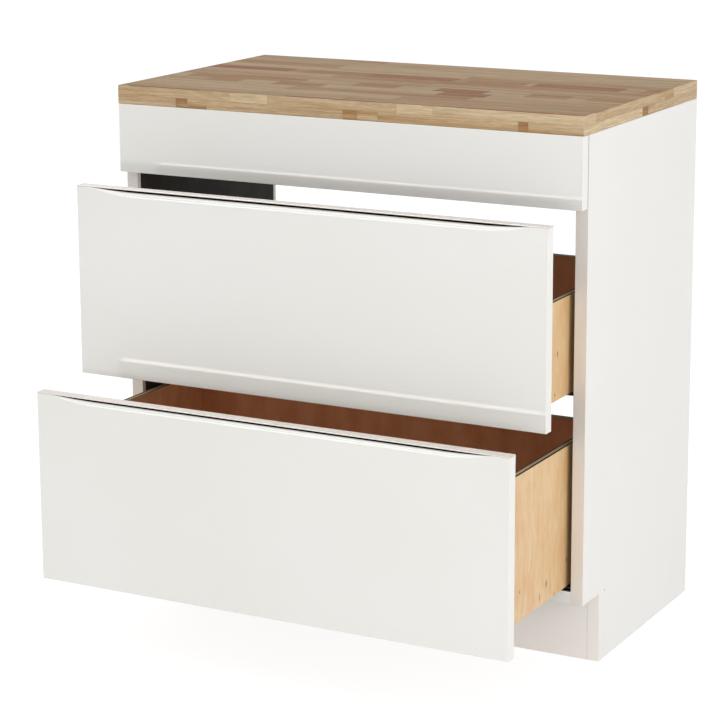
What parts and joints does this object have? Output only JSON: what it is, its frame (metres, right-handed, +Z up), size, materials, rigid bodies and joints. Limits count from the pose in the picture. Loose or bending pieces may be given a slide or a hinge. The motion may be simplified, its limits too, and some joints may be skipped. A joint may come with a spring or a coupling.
{
  "type": "bathroom vanity base cabinet",
  "caption": "Gloss white sink-base vanity with a butcher-block top, a fixed false front, a recessed toe kick, an open back and wide handleless drawers on concealed slides.",
  "frame": {"origin": "on the floor, under the middle of the bounding box with the drawers pulled out as stored", "axes": "+X to the right seen from the front, +Y from the drawer fronts to the wall, +Z up"},
  "size_m": [0.762, 0.67, 0.815],
  "materials": {
    "butcher_block": "oiled, satin",
    "side_white": "white foil on chipboard, satin",
    "carcass_board": "pale laminate edges, charcoal melamine inside",
    "gloss_white": "high-gloss white lacquer",
    "softwood": "sawn",
    "beech_dowel": "fluted beech, matt",
    "birch_ply": "clear-coated birch plywood, satin",
    "zinc_steel": "zinc plated",
    "chrome_strip": "polished",
    "dark_liner": "matt black",
    "grey_plastic": "matt",
    "nylon": "satin"
  },
  "bodies": {
    "cabinet": {"worktop": "butcher_block", "side_panel_left": "side_white", "side_panel_right": "side_white", "bottom_panel": "carcass_board", "kick_board": "side_white", "glue_blocks": "softwood", "front_rail": "carcass_board", "rear_top_rail": "carcass_board", "rear_bottom_rail": "carcass_board", "false_front": "gloss_white", "false_front_pads": "grey_plastic", "false_front_screws": "zinc_steel", "worktop_brackets": "zinc_steel", "bracket_screws": "zinc_steel", "cam_locks": "zinc_steel", "cam_bolts": "zinc_steel", "dowels": "beech_dowel", "upper_left_cabinet_rail": "zinc_steel", "upper_right_cabinet_rail": "zinc_steel", "lower_left_cabinet_rail": "zinc_steel", "lower_right_cabinet_rail": "zinc_steel", "slide_screws": "zinc_steel"},
    "upper_drawer": {"upper_front": "gloss_white", "upper_pull_strip": "chrome_strip", "upper_pull_liner": "dark_liner", "upper_box_front": "birch_ply", "upper_box_left": "birch_ply", "upper_box_right": "birch_ply", "upper_box_back": "birch_ply", "upper_box_bottom": "birch_ply", "upper_left_drawer_rail": "zinc_steel", "upper_right_drawer_rail": "zinc_steel", "upper_catches": "grey_plastic", "upper_front_screws": "zinc_steel", "upper_bumpers": "grey_plastic"},
    "upper_runners": {"upper_left_mid_rail": "zinc_steel", "upper_right_mid_rail": "zinc_steel", "upper_rollers": "nylon"},
    "lower_drawer": {"lower_front": "gloss_white", "lower_pull_strip": "chrome_strip", "lower_pull_liner": "dark_liner", "lower_box_front": "birch_ply", "lower_box_left": "birch_ply", "lower_box_right": "birch_ply", "lower_box_back": "birch_ply", "lower_box_bottom": "birch_ply", "lower_left_drawer_rail": "zinc_steel", "lower_right_drawer_rail": "zinc_steel", "lower_catches": "grey_plastic", "lower_front_screws": "zinc_steel", "lower_bumpers": "grey_plastic"},
    "lower_runners": {"lower_left_mid_rail": "zinc_steel", "lower_right_mid_rail": "zinc_steel", "lower_rollers": "nylon"}
  },
  "joints": [
    {"name": "upper_drawer_slide", "type": "slide", "parent": "cabinet", "child": "upper_drawer", "axis": [0, -1, 0], "range_m": [-0.11625, 0.23375]},
    {"name": "upper_runner_slide", "type": "slide", "parent": "cabinet", "child": "upper_runners", "axis": [0, -1, 0], "range_m": [-0.05813, 0.11688]},
    {"name": "lower_drawer_slide", "type": "slide", "parent": "cabinet", "child": "lower_drawer", "axis": [0, -1, 0], "range_m": [-0.2325, 0.1175]},
    {"name": "lower_runner_slide", "type": "slide", "parent": "cabinet", "child": "lower_runners", "axis": [0, -1, 0], "range_m": [-0.11625, 0.05875]}
  ],
  "couplings": [
    {"joint": "upper_runner_slide", "follows": "upper_drawer_slide", "ratio": 0.5},
    {"joint": "lower_runner_slide", "follows": "lower_drawer_slide", "ratio": 0.5}
  ]
}
